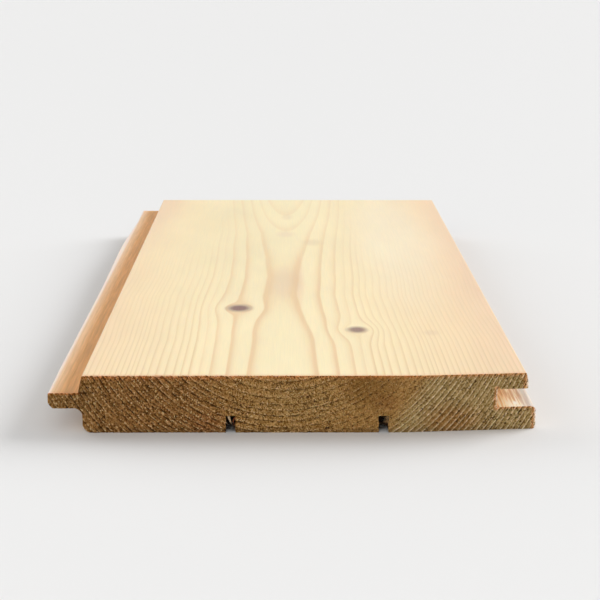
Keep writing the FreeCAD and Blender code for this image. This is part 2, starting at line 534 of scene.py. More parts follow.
@dataclass(frozen=True)
class PlanedPine:
    """Bare pine off a moulder: smooth, with the faint ripple of the knives, and silky along the grain."""

    name: str = "planed_pine"
    # Colour of the early wood by distance from the pith, out from the heart to the sapwood
    heart_to_sap: tuple = (
        (35.8, "FAE9BD"), (40.7, "FAE7BB"), (47.1, "FBE6B9"),
        (55.6, "FAE2B6"), (68.0, "F8DCB2"), (82.3, "F4D4B0"),
    )
    # Distances from the pith at which heartwood ends and sapwood starts
    sap_from: tuple = (42.3, 49.3)
    late_heart: str = "E7C192"
    late_sap: str = "E2C495"
    # Place along the board, and how strong the lines are there
    line_strength: tuple = (
        (-150, 0.84), (-125, 0.74), (-60, 0.74), (0, 0.6),
        (50, 0.42), (90, 0.3), (130, 0.24),
    )
    # Two places along the board, and how much fainter the sapwood's lines are there
    sap_faint: tuple = (-150.0, -60.0, 0.06, 0.42)
    knot: str = "8D6E65"
    rim: str = "7E6054"
    amber: str = "EBC798"
    warm_edge: str = "E9AE7C"
    # Painted highlights, where light catches the tongue's upper arris and the rounded nose of the lower lip
    tongue_arris_highlight: EdgeHighlight = EdgeHighlight(1.3, 0.5, 0.85, "FAE8DA")
    nose_highlight: EdgeHighlight = EdgeHighlight(1.0, 0.1, 0.6, "EAD8C2")
    # How far down the tongue's tip its painted highlight reaches
    tongue_highlight_drop: float = 1.9
    # Painted light: the groove's floor is painted paler, against the shade that falls in the groove
    groove: str = "FFEECC"
    streak_dark: str = "CC9A62"
    streak_pale: str = "FFF6DE"
    sheen: str = "D2CAC2"
    broken: str = "B06A3C"
    smudges: tuple = (
        Patch((-27.0, 112.0, 18.0), (16.0, 24.0, 6.0), "E3D1AC", 0.3),
        Patch((9.0, 46.0, 18.0), (6.0, 10.0, 6.0), "DDC3A0", 0.35),
        Patch((-3.0, -27.0, 18.0), (8.0, 34.0, 6.0), "E8CFB6", 0.6),
        Patch((2.5, -25.0, 18.0), (3.0, 60.0, 6.0), "ECC9A6", 0.5),
        Patch((-2.5, 64.0, 18.0), (6.0, 10.0, 6.0), "EACDB0", 0.5),
        Patch((-2.0, 104.0, 18.0), (4.0, 10.0, 6.0), "DCC3A2", 0.35),
        Patch((46.0, -101.0, 18.0), (4.0, 5.0, 6.0), "E0C4A4", 0.35),
        Patch((-62.0, 130.0, 18.0), (14.0, 110.0, 9.0), "EBC9AA", 0.5),
        Patch((72.0, 40.0, 18.0), (14.0, 170.0, 9.0), "ECCDB0", 0.25),
        Patch((44.0, 60.0, 18.0), (26.0, 170.0, 9.0), "FAEDD0", 0.55),
        Patch((-30.0, 50.0, 18.0), (45.0, 170.0, 9.0), "F3E2B6", 0.6),
    )
    groove_bands: tuple = (
        Patch((62.6, 0.0, 7.3), (4.4, 1e4, 1.5), "FFD08E", 0.85),
        Patch((68.6, 0.0, 7.3), (1.2, 1e4, 1.5), "FFF2DC", 0.8),
        Patch((70.3, 0.0, 7.3), (0.9, 1e4, 1.5), "D6BEA8", 0.7),
    )
    chip: Patch = Patch((68.1, -143.4, 7.3), (1.0, 2.6, 1.0), "FFFCF2", 0.9)
    # Fibres are 0.03 mm wide, which is too fine to show, so they are drawn ten times as wide
    fibre: tuple = (0.35, 14.0, 0.35)
    cloud: tuple = (18.0, 60.0, 18.0)
    # The least and the most that fibres and clouds each leave of the colour
    shade: tuple = (0.97, 1.02)
    # Streaks along the tongue and the groove, where the wood is stained unevenly
    streak: tuple = (0.6, 14.0, 1.0)
    # Where the groove's dark and pale streaks start and are whole in that pattern
    dark_streaks: tuple = (0.53, 0.4)
    pale_streaks: tuple = (0.52, 0.62)
    streak_strength: float = 0.8
    # Two values of that pattern, and how much lighter the tongue is at each
    tongue_lines: tuple = (0.35, 0.65, -0.14, 0.08)
    # How far in from the tongue's tip its amber starts and is whole, and how softly it ends at the shoulder
    amber_run: tuple = (-0.4, 4.6)
    amber_softness: float = 0.3
    # Where the groove's colour starts and is whole: over its floor, under it, and at its back wall
    groove_over: tuple = (0.6, 0.1)
    groove_under: tuple = (-2.4, -1.4)
    groove_in: tuple = (-0.1, 0.1)
    # The same for the sheen on the lip's outer part, out from the back wall
    sheen_from: tuple = (8.0, 10.0)
    sheen_strength: float = 0.75
    warmth: float = 0.6
    knife_pitch: float = 1.8
    # Heights of the ripple and of the fibres, against that of the dense wood
    ripple: float = 0.12
    silk: float = 1.5
    roughness: float = 0.5

    def tint_tongue(
        self, graph: Graph, wood: Figure, section: "Section", streak: Socket, colour: Socket
    ) -> Socket:
        """Tints the tongue more orange, with its fine darker lines.

        Args:
            graph: Tree to add to.
            wood: The figure of the wood.
            section: The board's section.
            streak: Pattern of the streaks.
            colour: Colour of the wood.

        Returns:
            The colour with the tongue stained.
        """
        add = graph.add
        foot, soft = section.shoulder_foot, self.amber_softness
        tongue = add("MapRange", wood.x, foot + soft, foot - soft)
        inward = add("MapRange", wood.x, *(section.tongue_tip + run for run in self.amber_run))
        tongue = add("Math MULTIPLY", tongue, inward)
        tinted = {0: tongue, 6: colour, 7: self.amber}
        colour = add("Mix", named=tinted, blend_type="MULTIPLY", **TINT)
        lines = add("MapRange", streak, *self.tongue_lines)
        lines = add("Math MULTIPLY_ADD", lines, tongue, 1.0)
        return add("VectorMath SCALE", colour, named={"Scale": lines})

    def streak_groove(
        self, graph: Graph, wood: Figure, section: "Section", streak: Socket, colour: Socket
    ) -> Socket:
        """Adds the streaky floor of the groove, from its back wall out over the rounded edge of the lip.
        The floor is painted paler as painted light, and the lip's outer part has a painted sheen.

        Args:
            graph: Tree to add to.
            wood: The figure of the wood.
            section: The board's section.
            streak: Pattern of the streaks.
            colour: Colour of the wood.

        Returns:
            The colour with the groove in it.
        """
        add = graph.add
        back, floor = section.groove_back, section.groove_floor
        groove = add("MapRange", wood.x, *(back + run for run in self.groove_in))
        for limits in (self.groove_over, self.groove_under):
            level = add("MapRange", wood.z, *(floor + height for height in limits))
            groove = add("Math MULTIPLY", level, groove)
        # Painted light: the floor is painted paler, against the shade that falls in the groove
        floor_colour = add("Mix", named={0: groove, 6: colour, 7: self.groove}, **TINT)
        for band in self.groove_bands:
            floor_colour = band.lay(graph, wood.point, floor_colour)
        colour = add("Mix", named={0: groove, 6: colour, 7: floor_colour}, **TINT)
        streaks = ((self.dark_streaks, self.streak_dark), (self.pale_streaks, self.streak_pale))
        for limits, tint in streaks:
            mask = add("MapRange", streak, *limits, 0.0, self.streak_strength)
            mask = add("Math MULTIPLY", mask, groove)
            colour = add("Mix", named={0: mask, 6: colour, 7: tint}, **TINT)
        colour = self.chip.lay(graph, wood.point, colour)
        outer = (back + run for run in self.sheen_from)
        sheen = add("MapRange", wood.x, *outer, 0.0, self.sheen_strength)
        sheen = add("Math MULTIPLY", sheen, groove)
        return add("Mix", named={0: sheen, 6: colour, 7: self.sheen}, **TINT)

    def paint_edge_highlights(self, graph: Graph, wood: Figure, section: "Section", colour: Socket) -> Socket:
        """Adds painted highlights where light catches the rounded edges: only the upper arris of the tongue
        has one, but the nose has one over its whole height.

        Args:
            graph: Tree to add to.
            wood: The figure of the wood.
            section: The board's section.
            colour: Colour of the wood.

        Returns:
            The colour with the painted highlights in it.
        """
        add = graph.add
        # Each painted highlight with its edge, the way in from there, and the height that it starts from
        edges = (
            (self.tongue_arris_highlight, section.tongue_tip, 1, section.tongue_top - self.tongue_highlight_drop),
            (self.nose_highlight, section.nose, -1, -1),
        )
        for highlight, edge, inward, above in edges:
            start, whole = edge + inward * highlight.start, edge + inward * highlight.whole
            share = add("MapRange", wood.x, start, whole, 0.0, highlight.strength)
            upper = add("MapRange", wood.z, above, above + 1)
            share = add("Math MULTIPLY", share, upper)
            colour = add("Mix", named={0: share, 6: colour, 7: highlight.colour}, **TINT)
        return colour

    def build(self, rings: GrowthRings, section: "Section") -> bpy.types.Material:
        """Makes the material.

        Args:
            rings: The figure of the wood.
            section: The board's section.

        Returns:
            The material.
        """
        graph = Graph(bpy.data.materials.new(self.name))
        add = graph.add
        wood = rings.draw(graph)
        near, far = self.heart_to_sap[0][0], self.heart_to_sap[-1][0]
        stops = [((r - near) / (far - near), colour) for r, colour in self.heart_to_sap]
        base = add("ValToRGB", add("MapRange", wood.radius, near, far), stops=stops)
        for smudge in self.smudges:
            base = smudge.lay(graph, wood.point, base)
        sap = add("MapRange", wood.radius, *self.sap_from)
        late = add("Mix", named={0: sap, 6: self.late_heart, 7: self.late_sap}, **TINT)
        # The lines grow faint towards the rear end, those of the sapwood most
        faint = add("MapRange", wood.y, *self.sap_faint)
        faint = add("Math MULTIPLY", faint, sap)
        keen = rings.follow(graph, wood.y, self.line_strength)
        keen = add("Math SUBTRACT", keen, faint)
        band = add("Math MULTIPLY", wood.late, keen)
        fibre = add("TexNoise", add("VectorMath DIVIDE", wood.point, self.fibre), named={"Scale": 1.0})
        cloud = add("TexNoise", add("VectorMath DIVIDE", wood.point, self.cloud), named={"Scale": 1.0})
        colour = add("Mix", named={0: band, 6: base, 7: late}, **TINT)
        shades = (add("MapRange", noise, 0.3, 0.7, *self.shade) for noise in (fibre, cloud))
        shade = add("Math MULTIPLY", *shades)
        colour = add("VectorMath SCALE", colour, named={"Scale": shade})
        for share, tint in ((wood.knot, self.knot), (wood.rim, self.rim)):
            colour = add("Mix", named={0: share, 6: colour, 7: tint}, **TINT)
        # Painted glow: the faces are warmer near the front end's lit edges, where light comes out of the
        # wood
        lit = add("Attribute", out="Fac", attribute_name=Mark.LIT_EDGE.value)
        warm = add("Math MULTIPLY", lit, self.warmth)
        colour = add("Mix", named={0: warm, 6: colour, 7: self.warm_edge}, **TINT)
        streak = add("TexNoise", add("VectorMath DIVIDE", wood.point, self.streak), named={"Scale": 1.0})
        colour = self.tint_tongue(graph, wood, section, streak, colour)
        colour = self.streak_groove(graph, wood, section, streak, colour)
        colour = self.paint_edge_highlights(graph, wood, section, colour)
        chip = add("Attribute", out="Fac", attribute_name=Mark.CHIP.value)
        colour = add("Mix", named={0: chip, 6: colour, 7: self.broken}, **TINT)
        ripple = add("Math SINE", add("Math MULTIPLY", wood.y, math.tau / self.knife_pitch))
        relief = add("Math MULTIPLY_ADD", ripple, self.ripple, band)
        relief = add("Math MULTIPLY_ADD", fibre, self.silk, relief)
        bump = add("Bump", named={"Strength": 0.3, "Distance": 0.05 * MM, "Height": relief})
        rough = add("MapRange", fibre, 0.3, 0.7, self.roughness - 0.06, self.roughness + 0.08)
        look = {
            "Base Color": colour,
            "Roughness": rough,
            "Normal": bump,
            "Subsurface Weight": 0.15,
            "Subsurface Radius": (1.6, 0.7, 0.3),
            "Subsurface Scale": MM,
        }
        add("OutputMaterial", add("BsdfPrincipled", named=look))
        return graph.owner


@dataclass(frozen=True)
class CutCells:
    """Sockets that say how the wood was cut at a point of a sawn end."""

    ring_at: Socket
    clump_at: Socket
    light: Socket
    dark: Socket
    rare: Socket
    clean: Socket
    torn: Socket
    contrast: Socket
    left: Socket


@dataclass(frozen=True)
class SawnEndGrain:
    """Pine across the grain, off a crosscut saw. Torn open cells drink the light, so the end looks darker
    and browner than the faces, with the dense wood of each ring standing paler. Light that enters the
    planed faces comes out reddish along the end's edges."""

    name: str = "sawn_end_grain"
    torn: str = "AA8048"
    torn_late: str = "DCB682"
    clean: str = "AC8E5A"
    clean_late: str = "F6DDB2"
    # Torn hollows: dark as torn wood, and as painted shade
    gash: str = "321B06"
    pit: str = "44280A"
    # Painted highlight on fibres that stand proud and catch the light
    speck: str = "F0CC98"
    broken: str = "7A4320"
    lit: tuple = ((0.0, "E07C46"), (0.6, "EA8648"), (0.75, "F2A062"), (0.88, "FAC89C"), (1.0, "FFEBD8"))
    # Blotches of the end grain's own colour, and painted shade along its lower edge
    stains_and_shade: tuple = (
        Patch((-46.0, 0.0, 8.0), (40.0, 1e4, 30.0), "8E6233", 0.85),
        Patch((-50.0, 0.0, 8.0), (16.0, 1e4, 10.0), "9A6E3C", 0.7),
        Patch((23.0, 0.0, 14.5), (12.0, 1e4, 9.0), "8A622E", 0.8),
        Patch((28.0, 0.0, 9.3), (6.0, 1e4, 4.0), "8E5E2E", 0.5),
        Patch((48.0, 0.0, 3.0), (12.0, 1e4, 8.0), "98662F", 0.75),
        Patch((-26.0, 0.0, 2.5), (9.0, 1e4, 6.0), "99623A", 0.5),
        Patch((2.0, 0.0, 9.0), (20.0, 1e4, 10.0), "A6834F", 0.6),
        Patch((-66.0, 0.0, 10.0), (12.0, 1e4, 8.0), "886336", 0.8),
        # Painted shade: darker along the underside's edge, where the board meets the floor
        Patch((0.0, 0.0, -0.4), (150.0, 1e4, 2.6), "5E4426", 0.6),
    )
    # Place across the board, and how much of the weak wood was torn away in dashes
    torn_away: tuple = ((-75, 0.7), (-30, 0.8), (-10, 0.85), (12, 0.6), (24, 0.15), (40, 0.45), (75, 0.55))
    # Place across the board, and how much the torn clumps differ in shade
    grain: tuple = (
        (-75, 1.3), (-20, 1.35), (0, 1.45), (14, 1.3),
        (22, 0.85), (32, 0.8), (45, 0.95), (75, 1.05),
    )
    # A clump in shade loses more of its blue than of its red
    shading: tuple = (0.85, 1.0, 1.4)
    # Place across the board, and how much of the pale lines is left in the torn part
    line_left: tuple = (
        (-75, 0.3), (-60, 0.5), (-25.5, 0.5), (-7.5, 0.32),
        (12, 0.3), (21, 0.1), (37.5, 0.1), (75, 0.5),
    )
    # Two values of the pattern of gaps, and how much of a pale line is left at each
    broken_lines: tuple = (0.38, 0.62, 0.2, 1.0)
    whole_lines: tuple = (0.3, 0.6, 0.45, 0.75)
    line_sharpness: float = 1.5
    glow: float = 0.85
    # Cells are 0.03 mm wide, so the grain that shows is torn clumps of them. This is how far one reaches
    # across a ring and along it
    clump: tuple = (0.3, 0.375)
    # How many gaps in the pale lines, or shreds, there are to a clump: across a ring, along it and in depth
    line_gap: tuple = (0.34, 0.27, 1.0)
    shred: tuple = (1.1, 0.45, 1.0)
    # How far into the board a pattern stays the same
    pattern_depth: float = 40.0
    # Width and length of a dash torn along a ring, and its depth in depths of a pattern
    dash: tuple = (0.3, 2.0, 1.0)
    # Where a dash starts and is whole in the pattern of dashes
    dash_edge: tuple = (0.49, 0.58)
    # Two values of the pattern of crowds, and the share of clumps that are pits at each
    crowds: tuple = (0.46, 0.64, 0.02, 0.26)
    crowd_pitch: float = 6.0
    # Share of clumps that are pits in the rows of the clean cut
    rows: float = 0.16
    # Chance of no speck in weak wood, and how much lower it is in dense wood
    no_speck: tuple = (0.98, 0.1)
    pit_strength: float = 0.8
    gash_strength: float = 0.85
    roughness: float = 0.85

    def find_cells(self, graph: Graph, wood: Figure, rings: GrowthRings, cut: "SawCut") -> CutCells:
        """Adds the torn clumps of cells, and how the saw treated them.

        Args:
            graph: Tree to add to.
            wood: The figure of the wood.
            rings: What drew the figure.
            cut: How the front end was sawn.

        Returns:
            The sockets for them.
        """
        add = graph.add
        along = add("Math DIVIDE", wood.y, self.pattern_depth)
        ring_at = add("CombineXYZ", wood.radius, wood.arc, along)
        clump_at = add("VectorMath DIVIDE", ring_at, (*self.clump, 1.0))
        chance = add("TexVoronoi", clump_at, named={"Scale": 1.0}, out="Color")
        light, dark, rare = (add("SeparateXYZ", chance, out=axis) for axis in "XYZ")
        tilted = add("Math MULTIPLY_ADD", wood.z, -cut.clean_lean, wood.x)
        clean = add("MapRange", tilted, cut.clean_from, cut.clean_to, **SOFT)
        torn, contrast, left = (
            rings.follow(graph, wood.x, pairs) for pairs in (self.torn_away, self.grain, self.line_left)
        )
        return CutCells(ring_at, clump_at, light, dark, rare, clean, torn, contrast, left)

    def lay_lines(self, graph: Graph, wood: Figure, cells: CutCells) -> Socket:
        """Adds the stained early wood with painted shade along the underside's edge, the paler lines of
        dense wood, and the painted glow of light along the edges.

        Args:
            graph: Tree to add to.
            wood: The figure of the wood.
            cells: The torn clumps.

        Returns:
            The colour.
        """
        add = graph.add
        base = add("Mix", named={0: cells.clean, 6: self.torn, 7: self.clean}, **TINT)
        # Blotches of the wood's own colour, and painted shade along the underside's edge
        for tone_patch in self.stains_and_shade:
            base = tone_patch.lay(graph, wood.point, base)
        late = add("Mix", named={0: cells.clean, 6: self.torn_late, 7: self.clean_late}, **TINT)
        # In the torn part the pale lines are broken, and are lost in the middle of the board
        gap_at = add("VectorMath MULTIPLY", cells.clump_at, self.line_gap)
        gap = add("TexNoise", gap_at, named={"Scale": 1.0, "Detail": 1.0})
        broken = add("Math MULTIPLY", add("MapRange", gap, *self.broken_lines), cells.left)
        whole = add("Math MULTIPLY", add("MapRange", gap, *self.whole_lines), cells.clean)
        keen = add("Math MAXIMUM", broken, whole)
        band = add("Math MULTIPLY", add("Math POWER", wood.late, self.line_sharpness), keen)
        colour = add("Mix", named={0: band, 6: base, 7: late}, **TINT)
        # Painted glow: light that entered the lit faces comes out reddish near the end's edges
        lit = add("Attribute", out="Fac", attribute_name=Mark.LIT_EDGE.value)
        glow = add("ValToRGB", lit, stops=self.lit)
        share = add("Math MULTIPLY", add("Math MULTIPLY", lit, lit), self.glow)
        return add("Mix", named={0: share, 6: colour, 7: glow}, **TINT)

    def shade_clumps(self, graph: Graph, cells: CutCells, colour: Socket) -> Socket:
        """Adds the light or shade of each clump. Clumps hang together in short shreds along the rings.

        Args:
            graph: Tree to add to.
            cells: The torn clumps.
            colour: Colour of the wood.

        Returns:
            The colour in light and shade.
        """
        add = graph.add
        shred = add("VectorMath MULTIPLY", cells.clump_at, self.shred)
        shred = add("TexNoise", shred, named={"Scale": 1.0, "Detail": 0.0})
        shred = add("MapRange", shred, 0.3, 0.7, -0.1, 0.1)
        shade = add("Math MULTIPLY_ADD", add("Math SUBTRACT", cells.light, 0.5), cells.contrast, shred)
        shade = add("VectorMath SCALE", self.shading, named={"Scale": shade})
        shade = add("VectorMath ADD", shade, (1.0, 1.0, 1.0))
        shade = add("VectorMath MAXIMUM", shade, (0.1, 0.1, 0.1))
        return add("VectorMath MULTIPLY", colour, shade)

    def tear_out(self, graph: Graph, wood: Figure, cells: CutCells, colour: Socket) -> Socket:
        """Adds what the saw tore out: pits, dashes, gashes and chips. Pits, dashes and gashes are painted
        dark, as torn wood and as painted shade in the hollows, and the bright specks between them are
        painted highlights on fibres that stand proud.

        Args:
            graph: Tree to add to.
            wood: The figure of the wood.
            cells: The torn clumps.
            colour: Colour of the wood.

        Returns:
            The colour with the torn places in it.
        """
        add = graph.add
        # Pits crowd together here and there, and stand in rows in the weak wood of the clean cut
        crowd = add("TexNoise", wood.point, named={"Scale": 1 / self.crowd_pitch, "Detail": 1.0})
        crowd = add("Math MULTIPLY", add("MapRange", crowd, *self.crowds), cells.torn)
        row = add("Math MULTIPLY", wood.early, cells.clean)
        crowd = add("Math MULTIPLY_ADD", row, self.rows, crowd)
        pit = add("Math MULTIPLY", add("Math LESS_THAN", cells.dark, crowd), self.pit_strength)
        # Painted highlights: bright specks where fibres that stand proud would catch the light
        limit = add("Math MULTIPLY_ADD", wood.late, -self.no_speck[1], self.no_speck[0])
        speck = add("Math GREATER_THAN", cells.rare, limit)
        speck = add("Math MULTIPLY", speck, add("Math SUBTRACT", 1.0, cells.clean))
        speck = add("Math MULTIPLY", speck, cells.torn)
        # The weakest wood, just outside each dense line, is torn away in short dashes
        dash = add("VectorMath DIVIDE", cells.ring_at, self.dash)
        dash = add("TexNoise", dash, named={"Scale": 1.0, "Detail": 1.0})
        dash = add("Math MULTIPLY", add("MapRange", dash, *self.dash_edge), wood.early)
        dash = add("Math MULTIPLY", dash, cells.torn)
        gash, chip = (
            add("Attribute", out="Fac", attribute_name=mark.value) for mark in (Mark.GASH, Mark.CHIP)
        )
        gash = add("Math MULTIPLY_ADD", gash, 0.3, dash, use_clamp=True)
        gash = add("Math MULTIPLY", gash, self.gash_strength)
        # Pits, dashes and gashes are painted dark, partly as shade in the hollows; specks are painted
        # highlights
        layers = ((pit, self.pit), (speck, self.speck), (gash, self.gash), (chip, self.broken))
        for share, tint in layers:
            colour = add("Mix", named={0: share, 6: colour, 7: tint}, **TINT)
        return colour

    def build(self, rings: GrowthRings, cut: "SawCut") -> bpy.types.Material:
        """Makes the material.

        Args:
            rings: The figure of the wood.
            cut: How the front end was sawn.

        Returns:
            The material.
        """
        graph = Graph(bpy.data.materials.new(self.name))
        wood = rings.draw(graph)
        cells = self.find_cells(graph, wood, rings, cut)
        colour = self.shade_clumps(graph, cells, self.lay_lines(graph, wood, cells))
        relief = graph.add("Math ADD", cells.light, wood.late)
        look = {
            "Base Color": self.tear_out(graph, wood, cells, colour),
            "Roughness": self.roughness,
            "Specular IOR Level": 0.12,
            "Normal": graph.add("Bump", named={"Strength": 0.5, "Distance": 0.12 * MM, "Height": relief}),
            "Subsurface Weight": 0.2,
            "Subsurface Radius": (1.5, 0.5, 0.15),
            "Subsurface Scale": MM,
        }
        graph.add("OutputMaterial", graph.add("BsdfPrincipled", named=look))
        return graph.owner


@dataclass(frozen=True)
class RoughSawnPine:
    """Pine ripped along the grain by a coarse blade, and furred all over. Its hollows are painted darker as
    their shade, and its default browns are dark, as dull fur and as painted shade in the kerfs.
    """

    name: str = "rough_sawn_pine"
    fur: str = "5E4022"
    hollow: str = "2C1A0A"
    fibre: tuple = (0.4, 4.0, 0.4)
    roughness: float = 0.9

    def build(self) -> bpy.types.Material:
        """Makes the material.

        Returns:
            The material.
        """
        graph = Graph(bpy.data.materials.new(self.name))
        point = graph.add("TexCoord", out="Object")
        size = tuple(MM * length for length in self.fibre)
        fibre = graph.add("VectorMath DIVIDE", point, size)
        fibre = graph.add("TexNoise", fibre, named={"Scale": 1.0})
        share = graph.add("MapRange", fibre, 0.35, 0.65)
        # Painted shade: the hollows between the fibres are darker
        tints = {0: share, 6: self.hollow, 7: self.fur}
        colour = graph.add("Mix", named=tints, **TINT)
        bump = graph.add("Bump", named={"Strength": 0.7, "Distance": 0.2 * MM, "Height": fibre})
        look = {"Base Color": colour, "Roughness": self.roughness, "Normal": bump}
        graph.add("OutputMaterial", graph.add("BsdfPrincipled", named=look))
        return graph.owner


@dataclass(frozen=True)
class Section:
    """The board's section, with the CAD's sizes. Places across it are from the middle of the footprint."""

    thickness: float = 18.0
    cover_width: float = 138.0
    tongue_drop: float = 5.45
    tongue_thickness: float = 4.8
    tongue_reach: float = 10.4
    tongue_tip_round: float = 2.0
    tongue_cove_round: float = 2.5
    shoulder_step: float = 1.15
    shoulder_lean: float = 1.35
    groove_play: float = 0.45
    tip_clearance: float = 2.0
    joint_gap: float = 1.5
    lip_land: float = 1.6
    lip_lean: float = 0.9
    arris_round: float = 0.5
    lip_foot_round: float = 0.25
    seat_round: float = 2.8
    nose_lower_round: float = 1.2
    kerf_width: float = 3.0
    kerf_depth: float = 5.3
    kerf_pitch: float = 46.4
    kerf_shift: float = 1.05
    step: float = 0.36

    @property
    def shoulder(self) -> float:
        """Place of the lower shoulder."""
        return -(self.cover_width - self.tongue_reach) / 2

    @property
    def shoulder_foot(self) -> float:
        """Place of the upper shoulder's foot, where the tongue starts."""
        return self.shoulder - self.shoulder_step

    @property
    def tongue_tip(self) -> float:
        """Place of the tongue's tip."""
        return self.shoulder - self.tongue_reach

    @property
    def nose(self) -> float:
        """Outer edge of the lower lip."""
        return self.cover_width + self.shoulder

    @property
    def lip_edge(self) -> float:
        """Outer edge of the upper lip."""
        return self.nose - self.shoulder_step - self.joint_gap

    @property
    def tongue_top(self) -> float:
        """Height of the tongue's upper side."""
        return self.thickness - self.tongue_drop

    @property
    def groove_roof(self) -> float:
        """Height of the upper lip's lower side."""
        return self.tongue_top + self.groove_play

    @property
    def groove_floor(self) -> float:
        """Height of the lower lip's upper side."""
        return self.tongue_top - self.tongue_thickness - self.groove_play

    @property
    def groove_back(self) -> float:
        """Place of the groove's back wall."""
        return self.nose - self.tongue_reach - self.tip_clearance

    @property
    def groove_middle(self) -> float:
        """Height of the middle of the groove."""
        return self.tongue_top - self.tongue_thickness / 2

    @property
    def kerf_middles(self) -> tuple[float, float]:
        """Middles of the two kerfs."""
        row = self.cover_width / 2 - self.kerf_shift + self.shoulder
        return row - self.kerf_pitch / 2, row + self.kerf_pitch / 2

    def corners(self) -> list[tuple[float, float, float]]:
        """Corners of the section with the kerfs in it.

        Returns:
            Place across the board, height and radius of each corner, from the lower shoulder's foot
            round the tongue, the show face, the groove and the underside.
        """
        top, tongue_top = self.thickness, self.tongue_top
        tongue_bottom = tongue_top - self.tongue_thickness
        tip, back = self.tongue_tip, self.groove_back
        roof, floor = self.groove_roof, self.groove_floor
        corners = [
            (self.shoulder, 0, self.seat_round),
            (self.shoulder, tongue_bottom, self.tongue_cove_round),
            (tip, tongue_bottom, self.tongue_tip_round),
            (tip, tongue_top, self.arris_round),
            (self.shoulder_foot, tongue_top, 0),
            (self.shoulder_foot + self.shoulder_lean, top, self.arris_round),
            (self.lip_edge - self.lip_lean, top, self.arris_round),
            (self.lip_edge, roof + self.lip_land, 0),
            (self.lip_edge, roof, self.lip_foot_round),
            (back, roof, 0),
            (back, floor, 0),
            (self.nose, floor, self.tongue_cove_round - self.groove_play),
            (self.nose, 0, self.nose_lower_round),
        ]
        for middle in reversed(self.kerf_middles):
            high, low = middle + self.kerf_width / 2, middle - self.kerf_width / 2
            corners += [(high, 0, 0), (high, self.kerf_depth, 0), (low, self.kerf_depth, 0), (low, 0, 0)]
        return corners

    def outline(self) -> np.ndarray:
        """The section as closely spaced points, with its corners rounded.

        Returns:
            Place across the board and height, one row for each point.
        """
        corners = self.corners()
        path = []
        for i, (x, z, radius) in enumerate(corners):
            corner = Vector((x, z))
            if radius == 0:
                path.append(corner)
                continue
            back = (Vector(corners[i - 1][:2]) - corner).normalized()
            ahead = (Vector(corners[(i + 1) % len(corners)][:2]) - corner).normalized()
            half = back.angle(ahead) / 2
            centre = corner + (back + ahead).normalized() * radius / math.sin(half)
            reach = radius / math.tan(half)
            start, end = corner + back * reach - centre, corner + ahead * reach - centre
            pieces = max(3, round(start.angle(end) * radius / (0.6 * self.step)))
            path += [centre + radius * start.slerp(end, k / pieces) for k in range(pieces + 1)]
        points = []
        for point, following in zip(path, path[1:] + path[:1]):
            pieces = max(1, math.ceil((following - point).length / self.step))
            points += [point.lerp(following, k / pieces) for k in range(pieces)]
        return np.array(points)

    def edge_light(self, x: np.ndarray, z: np.ndarray) -> np.ndarray:
        """How much light comes out at points of an end, having entered the lit faces beside it.

        Args:
            x: Places across the board.
            z: Heights above the underside.

        Returns:
            Share of the light, 1 at a lit edge.
        """
        tip, top, foot = self.tongue_tip, self.thickness, self.shoulder_foot
        # Start and end of each edge, how far its light reaches, and how bright it is at each end
        edges = (
            ((tip, self.tongue_top), (foot, self.tongue_top), 1.0, 0.8, 0.8),
            ((foot, top), (-20, top), 2.1, 0.9, 0.9),
            ((-20, top), (5, top), 1.9, 0.9, 0.8),
            ((5, top), (self.lip_edge, top), 1.8, 0.75, 0.8),
            ((self.lip_edge, top), (self.lip_edge, self.groove_roof), 2.7, 1.25, 1.25),
            ((self.groove_back, self.groove_roof), (self.groove_back, self.groove_floor), 1.5, 1.15, 1.15),
            ((self.groove_back, self.groove_floor), (self.nose, self.groove_floor), 1.2, 0.9, 0.9),
            ((self.nose, self.groove_floor), (self.nose, 0), 2.2, 1.4, 1.3),
        )
        shares = [np.zeros_like(x)]
        for (ax, az), (bx, bz), reach, first, last in edges:
            run, rise = bx - ax, bz - az
            along = np.clip(((x - ax) * run + (z - az) * rise) / (run**2 + rise**2), 0, 1)
            apart = np.hypot(x - ax - along * run, z - az - along * rise)
            shares.append((first + (last - first) * along) * (1 - apart / reach))
        return np.minimum(np.max(shares, axis=0), 1)

    def kerf_distance(self, x: np.ndarray, z: np.ndarray) -> np.ndarray:
        """Distance of points from the walls and roof of the nearer kerf, below zero inside it."""
        sideways = np.min([np.abs(x - middle) for middle in self.kerf_middles], axis=0)
        return np.maximum(sideways - self.kerf_width / 2, z - self.kerf_depth)


